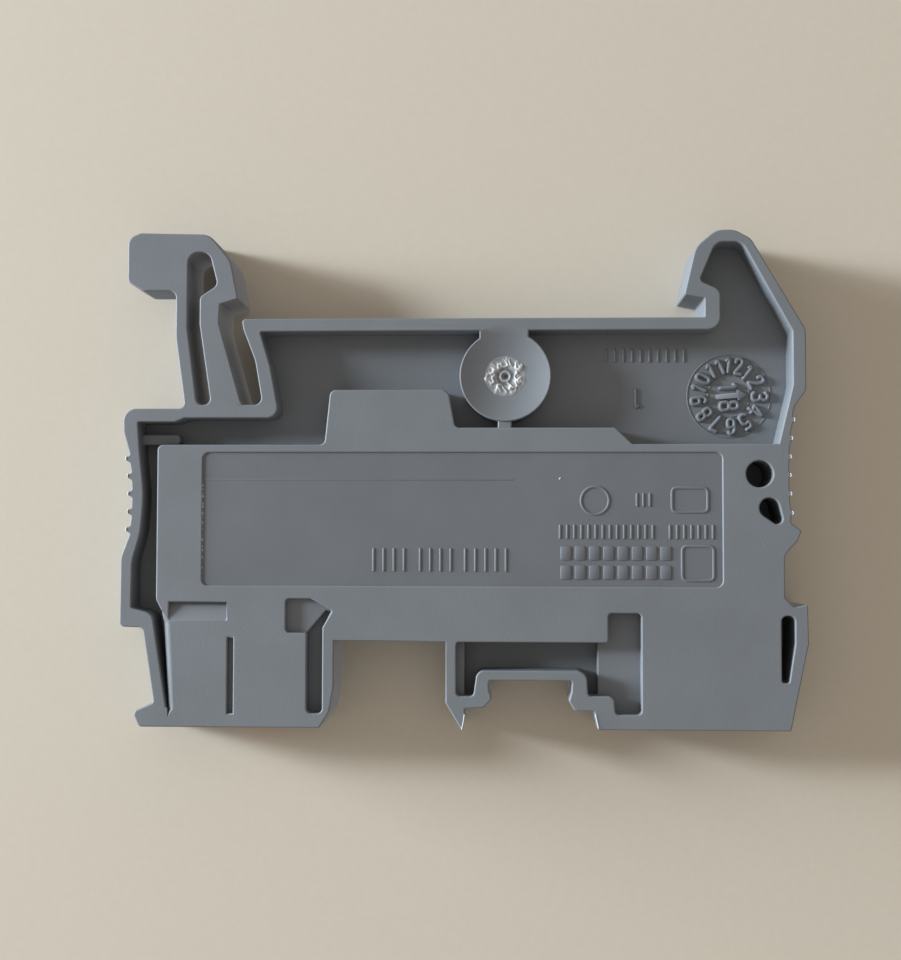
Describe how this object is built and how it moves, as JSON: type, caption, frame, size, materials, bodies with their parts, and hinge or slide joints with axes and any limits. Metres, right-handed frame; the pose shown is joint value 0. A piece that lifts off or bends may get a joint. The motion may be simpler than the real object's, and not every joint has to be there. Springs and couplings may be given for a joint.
{
  "type": "din rail terminal block",
  "caption": "Plug-in feed-through terminal block for a 35 mm top-hat rail, with a push-in wire entry, bridge shafts, marker groove and sprung rail foot.",
  "frame": {"origin": "rail seat, midway between the two edges of the 35 mm rail and at mid-thickness of the block", "axes": "+X along the block towards the sprung foot and the wire entry, +Y along the rail towards the open side, +Z away from the rail"},
  "size_m": [0.0485, 0.0052, 0.0352],
  "materials": {
    "grey_polyamide": "fine matt moulded polyamide 6.6",
    "orange_polyamide": "satin moulded polyamide",
    "tinned_copper": "matt tin plating over copper strip",
    "spring_steel": "bright rolled stainless strip"
  },
  "bodies": {
    "block": {"housing": "grey_polyamide", "current_bar": "tinned_copper", "spring_bow": "spring_steel"},
    "foot": {"rail_foot": "grey_polyamide"},
    "button": {"release_button": "orange_polyamide"},
    "leg": {"clamping_leg": "spring_steel"}
  },
  "joints": [
    {"name": "foot_hinge", "type": "hinge", "parent": "block", "child": "foot", "pos_m": [0.0176, 0, 0.0086], "axis": [0, -1, 0], "range_deg": [0, 10.5], "stiffness_Nm_per_rad": 0.6},
    {"name": "button_press", "type": "slide", "parent": "block", "child": "button", "axis": [0, 0, -1], "range_m": [0, 0.0014], "stiffness_N_per_m": 1500},
    {"name": "clamp_open", "type": "hinge", "parent": "block", "child": "leg", "pos_m": [0.0129, 0.0004, 0.0175], "axis": [0, 1, 0], "range_deg": [0, 22.5]}
  ],
  "couplings": [
    {"joint": "clamp_open", "follows": "button_press", "rad_per_m": 280.47}
  ]
}
